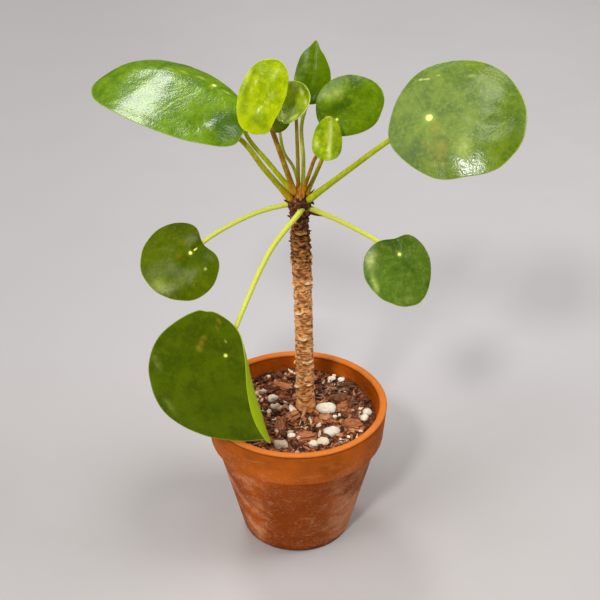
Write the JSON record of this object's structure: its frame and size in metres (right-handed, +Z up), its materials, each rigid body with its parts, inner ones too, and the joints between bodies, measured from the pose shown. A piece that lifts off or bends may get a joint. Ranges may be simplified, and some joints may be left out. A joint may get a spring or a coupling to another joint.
{
  "type": "potted pilea plant",
  "caption": "Potted pilea plant: a bare ringed trunk topped by a loose crown of round coin-like leaves on long stalks, standing in potting mix in a tapered clay pot with a collar rim.",
  "frame": {"origin": "centre of the pot's flat base, on the surface it stands on", "axes": "+Z up along the pot's axis, -Y towards the side seen in the picture, +X to that side's right"},
  "size_m": [0.235, 0.1185, 0.3157],
  "materials": {
    "terracotta": "matte unglazed clay with pale bloom",
    "potting_mix": "loose mix of bark, grit and fibre",
    "bark": "matte, ringed with old leaf scars",
    "bud": "papery sheath",
    "stalk": "satin",
    "leaf_green": "glossy, waxy",
    "leaf_dark": "glossy, waxy",
    "leaf_lime": "glossy, waxy",
    "leaf_fresh": "glossy, waxy"
  },
  "bodies": {
    "root": {"pot": "terracotta", "soil": "potting_mix", "trunk": "bark", "bud": "bud", "stalk_right_round": "stalk", "leaf_right_round": "leaf_green", "stalk_left_dome": "stalk", "leaf_left_dome": "leaf_green", "stalk_hanging": "stalk", "leaf_hanging": "leaf_dark", "stalk_low_left": "stalk", "leaf_low_left": "leaf_green", "stalk_low_right": "stalk", "leaf_low_right": "leaf_green", "stalk_lime": "stalk", "leaf_lime": "leaf_lime", "stalk_right_young": "stalk", "leaf_right_young": "leaf_fresh", "stalk_pointed": "stalk", "leaf_pointed": "leaf_green", "stalk_cup": "stalk", "leaf_cup": "leaf_fresh", "stalk_folded": "stalk", "leaf_folded": "leaf_lime", "stalk_shaded": "stalk", "leaf_shaded": "leaf_dark", "stalk_rear": "stalk", "leaf_rear": "leaf_green"}
  },
  "joints": []
}
